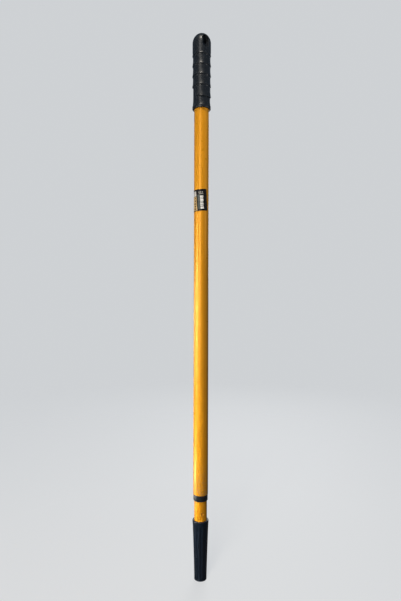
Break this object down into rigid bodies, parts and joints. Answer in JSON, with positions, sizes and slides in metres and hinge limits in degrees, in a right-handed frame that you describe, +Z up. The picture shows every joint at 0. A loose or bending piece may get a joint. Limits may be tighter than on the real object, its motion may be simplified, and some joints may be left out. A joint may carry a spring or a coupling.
{
  "type": "roller extension pole",
  "caption": "Telescopic steel extension pole for a paint roller, with a ribbed grip and hang slot, an internal twist lock and a fluted taper tip that pushes into a tool's handle.",
  "frame": {"origin": "centre of the flat end face of the tapered tip, where the pole pushes into a tool's handle", "axes": "+Z up the pole from the tip to the grip; the hang slot in the grip's head runs along Y"},
  "size_m": [0.028, 0.028, 0.8148],
  "materials": {
    "pole_paint": "orange-yellow powder coat on thin steel tube, satin with a fine orange peel",
    "black_plastic": "black moulded plastic, satin",
    "nylon": "natural nylon, satin",
    "zinc_steel": "zinc-plated steel",
    "label_vinyl": "printed vinyl sticker, semi-gloss"
  },
  "bodies": {
    "inner_pole": {"inner_tube": "pole_paint", "tip_cone": "black_plastic", "lock_plug": "black_plastic", "stop_washer": "zinc_steel", "stop_screw": "zinc_steel"},
    "lock_body": {"lock_sleeve": "nylon"},
    "wedge": {"lock_wedge": "black_plastic"},
    "outer_pole": {"outer_tube": "pole_paint", "end_collar": "black_plastic", "tube_label": "label_vinyl", "grip": "black_plastic"}
  },
  "joints": [
    {"name": "lock_twist", "type": "hinge", "parent": "inner_pole", "child": "lock_body", "pos_m": [0, 0, 0.645], "axis": [0, 0, 1], "range_deg": [0, 300]},
    {"name": "wedge_travel", "type": "slide", "parent": "lock_body", "child": "wedge", "axis": [0, 0, 1], "range_m": [0, 0.00255]},
    {"name": "extend", "type": "slide", "parent": "lock_body", "child": "outer_pole", "axis": [0, 0, 1], "range_m": [-0.0286, 0.483]}
  ],
  "couplings": [
    {"joint": "wedge_travel", "follows": "lock_twist", "m_per_rad": 0.00047746}
  ]
}
